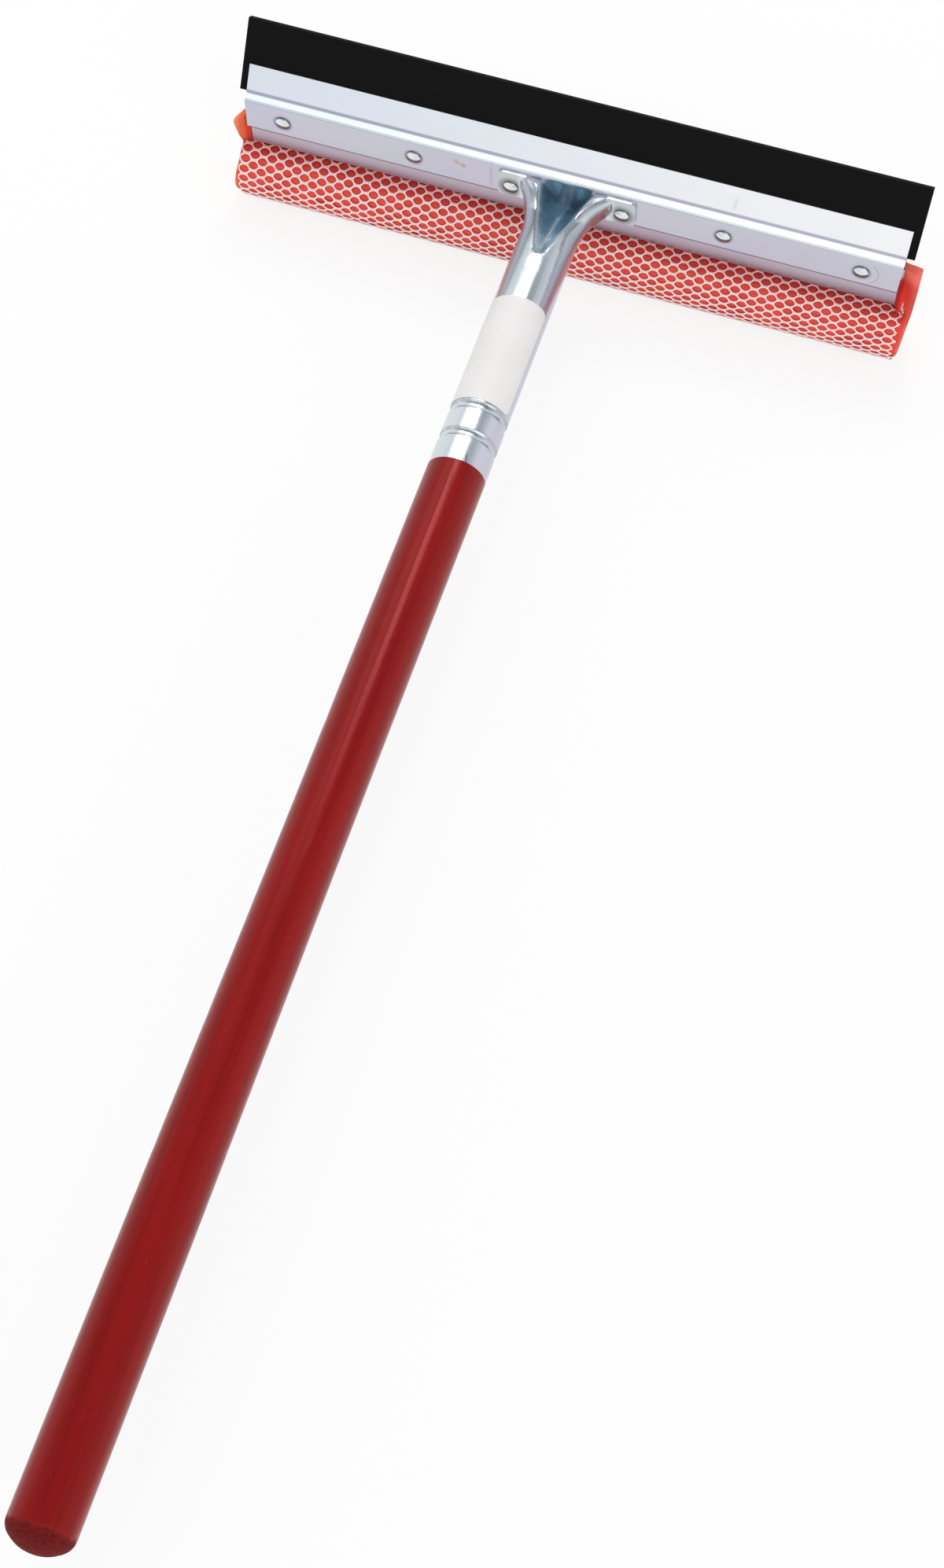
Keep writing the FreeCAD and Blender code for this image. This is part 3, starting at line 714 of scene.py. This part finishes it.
def foam():
    """The foam from its solid's form: rounded, seated on the net, pillowed in its openings, lobes flared."""
    solid = nodes["foam_sponge"].data
    core = np.array([v.co for v in solid.vertices])
    upper = core[:, 2] > body_top
    core[upper, 0] = np.clip(core[upper, 0], plate_low.x + 0.3 * mm, plate_high.x - 0.3 * mm)
    points, faces = [tuple(p) for p in core], [tuple(p.vertices) for p in solid.polygons]
    for lobe, edge, way in ((left_lobe, plate_low.x, -1), (right_lobe, plate_high.x, 1)):
        made, sides = loft([(edge + way * s[0] * mm, neck_y + s[1] * mm, neck_y + s[2] * mm,
                             s[3] * mm, s[4] * mm) for s in lobe])
        faces += [tuple(i + len(points) for i in (side if way > 0 else side[::-1])) for side in sides]
        points += made
    piece = new_piece("foam", points, faces, foam_material())
    piece.modifiers.new("skin", "REMESH").voxel_size = 0.45 * mm
    ease = piece.modifiers.new("ease", "SMOOTH")
    ease.iterations = 8
    ease.factor = 0.5
    mesh = settled(piece)
    count = len(mesh.vertices)
    points, normals = np.empty(count * 3, dtype=np.float32), np.empty(count * 3, dtype=np.float32)
    mesh.vertices.foreach_get("co", points)
    mesh.vertices.foreach_get("normal", normals)
    points, normals = points.reshape(-1, 3).astype(float), normals.reshape(-1, 3).astype(float)
    x, y, z = points.T.copy()

    half = body_height(x) / 2
    angle = np.arctan2((neck_y - y) / body_half_thick, (z - (body_top - half)) / half) % (2 * math.pi)
    along = np.interp(angle, arc_angles, arc_lengths)
    start, step = knit_rows(x)
    u, v = (x - column_start) / column_pitch, (along - start) / step
    pillow = np.cos(math.pi * (u + v) / 2) ** 2 * np.cos(math.pi * (u - v) / 2) ** 2
    covered = np.clip((bar_high_x - 1.2 * mm - x) / mm, 0, 1)
    covered *= np.clip((x - bar_low_x - 0.8 * mm) / mm, 0, 1)
    covered *= np.clip((body_top - 0.6 * mm - z) / mm, 0, 1) * (np.abs(normals[:, 0]) < 0.6)
    points += normals * ((foam_seat + foam_pillow * pillow) * covered)[:, None]

    # The ends lean: the right one leaves with its lobe, the left one bulges at its foot
    right_end = np.clip((x - plate_high.x - 1.6 * mm) / (2.3 * mm), 0, 1)
    lean = 1.5 * mm * np.clip((z - 5 * mm) / (21 * mm), 0, 1)
    points[:, 0] = np.minimum(points[:, 0] + right_end * lean, bar_high_x + lean)
    left_end = np.clip((plate_low.x - 1.0 * mm - x) / (1.7 * mm), 0, 1)
    points[:, 0] -= left_end * 2.2 * mm * np.clip((18 * mm - z) / (12 * mm), 0, 1)

    netted = np.clip((bar_high_x - 0.8 * mm - x) / (0.5 * mm), 0, 1)
    netted *= np.clip((x - bar_low_x - 0.4 * mm) / (0.5 * mm), 0, 1)
    bare = np.maximum(1 - netted, np.clip((z - body_top) / mm, 0, 1))
    beyond = np.maximum(x - plate_high.x, plate_low.x - x)
    # How far each point is painted from shade to light: zero by the plates, rising beyond them, at the left
    # end's foot, and on the right end's faces that face along the head.
    crest_light = np.clip((beyond - 0.2 * mm) / (4.6 * mm), 0, 1)
    crest_light = np.maximum(crest_light, left_end * np.clip((20 * mm - z) / (8 * mm), 0, 1))
    crest_light = np.maximum(crest_light, 0.8 * right_end * (np.abs(normals[:, 0]) > 0.5))
    mesh.vertices.foreach_set("co", points.astype(np.float32).ravel())
    for name, values in (("bare", bare), ("crest_light", crest_light)):
        layer = mesh.attributes.new(name, "FLOAT", "POINT")
        layer.data.foreach_set("value", values.astype(np.float32))
    mesh.update()
    mesh.shade_smooth()
    return piece


def stand_in(piece, node):
    """A soft piece takes the place of its CAD solid."""
    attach(piece, "root")
    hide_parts(node)


# Light, floor and camera

def seen_share(tree):
    """One for rays that show the background: from the camera, in a mirror or through glass."""
    path = tree.nodes.new("ShaderNodeLightPath")
    seen = path.outputs["Is Camera Ray"]
    for kind in ("Is Glossy Ray", "Is Transmission Ray"):
        either = tree.nodes.new("ShaderNodeMath")
        either.operation = "MAXIMUM"
        tree.links.new(seen, either.inputs[0])
        tree.links.new(path.outputs[kind], either.inputs[1])
        seen = either.outputs[0]
    return seen


def grey_ramp(tree, value, stops):
    ramp = tree.nodes.new("ShaderNodeValToRGB")
    elements = ramp.color_ramp.elements
    while len(elements) < len(stops):
        elements.new(0.5)
    for element, (position, colour) in zip(elements, stops):
        element.position = position
        element.color = (*colour, 1.0)
    tree.links.new(value, ramp.inputs["Fac"])
    return ramp.outputs["Color"]


def world_light():
    """A white room to the eye, darker overhead, and a plain soft level for matt surfaces."""
    world = bpy.data.worlds.new("studio")
    bpy.context.scene.world = world
    world.use_nodes = True
    tree = world.node_tree
    ground = tree.nodes["Background"]
    way = tree.nodes.new("ShaderNodeTexCoord").outputs["Generated"]
    split = tree.nodes.new("ShaderNodeSeparateXYZ")
    tree.links.new(way, split.inputs["Vector"])
    seen = grey_ramp(tree, split.outputs["Z"], (
        (0.0, (1.0, 1.0, 1.0)), (0.36, (0.97, 0.985, 1.0)), (0.60, (0.60, 0.63, 0.68)),
        (0.82, (0.24, 0.25, 0.27)), (1.0, (0.16, 0.165, 0.18))))
    plain = grey_ramp(tree, split.outputs["Z"], (
        (0.0, (1.0, 1.0, 1.0)), (0.3, (1.0, 1.0, 1.0)),
        (0.6, (0.60, 0.60, 0.60)), (1.0, (0.32, 0.32, 0.32))))
    mix = tree.nodes.new("ShaderNodeMix")
    mix.data_type = "RGBA"
    tree.links.new(seen_share(tree), mix.inputs[0])
    tree.links.new(plain, mix.inputs[6])
    tree.links.new(seen, mix.inputs[7])
    tree.links.new(mix.outputs[2], ground.inputs["Color"])
    ground.inputs["Strength"].default_value = 1.0


def soft_box(name, place, aim, size, power):
    data = bpy.data.lights.new(name, "AREA")
    data.shape = "RECTANGLE"
    data.size, data.size_y = size
    data.energy = power
    lamp = bpy.data.objects.new(name, data)
    lamp.location = place
    lamp.rotation_euler = (Vector(aim) - Vector(place)).to_track_quat("-Z", "Y").to_euler()
    bpy.context.scene.collection.objects.link(lamp)


def floor():
    """A pale floor: white where it is seen, and still taking the object's shadow."""
    half = 6.0
    mesh = bpy.data.meshes.new("floor")
    corners = [(-half, -half, 0), (half, -half, 0), (half, half, 0), (-half, half, 0)]
    mesh.from_pydata(corners, [], [(0, 1, 2, 3)])
    piece = bpy.data.objects.new("floor", mesh)
    bpy.context.scene.collection.objects.link(piece)
    piece.location.z = cad_low.z - 0.2 * mm
    paint = Paint("floor")
    paint.set(Base_Color=(0.92, 0.92, 0.92, 1.0), Roughness=0.9, Specular_IOR_Level=0.1)
    glow = paint.feed(paint.node("ShaderNodeEmission"), Color=(1.0, 1.0, 1.0, 1.0), Strength=1.0)
    glow_share = paint.span(paint.far_from((0.0, 0.0, 0.0)), 0.6, 2.4, 0.82, 1.0)
    share = paint.maths(seen_share(paint.tree), glow_share, "MULTIPLY")
    blend = paint.feed(paint.node("ShaderNodeMixShader"), Fac=share)
    paint.wire(paint.shader.outputs["BSDF"], blend.inputs[1])
    paint.wire(glow.outputs["Emission"], blend.inputs[2])
    paint.wire(blend.outputs["Shader"], paint.tree.nodes["Material Output"].inputs["Surface"])
    mesh.materials.append(paint.material)


def camera():
    data = bpy.data.cameras.new("camera")
    data.sensor_fit = "AUTO"
    data.sensor_width = sensor_mm
    data.lens = focal_pixels / picture_long_side * sensor_mm
    piece = bpy.data.objects.new("camera", data)
    back = camera_right.cross(camera_up).normalized()
    up = back.cross(camera_right).normalized()
    turn = Matrix((camera_right.normalized(), up, back)).transposed()
    piece.matrix_world = Matrix.Translation(camera_place) @ turn.to_4x4()
    bpy.context.scene.collection.objects.link(piece)
    bpy.context.scene.camera = piece


bpy.context.scene.view_settings.view_transform = "Standard"
dress("front_plate", plate_zinc("front_zinc", True))
dress("rear_plate", plate_zinc("rear_zinc", False))
dress("neck_strip", strip_zinc())
dress("ferrule", tube_zinc())
zinc_of_rivets = rivet_zinc()
for node in nodes:
    if "rivet" in node:
        dress(node, zinc_of_rivets)
dress("wooden_handle", lacquered_wood())
dress("rubber_blade", black_rubber())
dress("paper_label", label_paper())

foam_piece = foam()
stand_in(foam_piece, "foam_sponge")
yarn = net_material()
net_piece = net(yarn)
stand_in(net_piece, "net_sleeve")
thread_piece = threads(yarn)
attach(thread_piece, "root")

world_light()
soft_box("key", (-0.02, 0.74, 1.05), (0, 0.10, 0), (0.16, 0.50), 3.2)
soft_box("side_card", (-0.50, 0.74, 1.05), (0, 0.10, 0), (0.72, 0.55), 2.4)
soft_box("front_card", (-0.06, -0.48, 1.12), (0, 0.15, 0), (1.6, 0.45), 2.9)
soft_box("fill", (0.8, -0.5, 0.9), (0, 0.1, 0), (0.7, 0.7), 2.2)
floor()
camera()
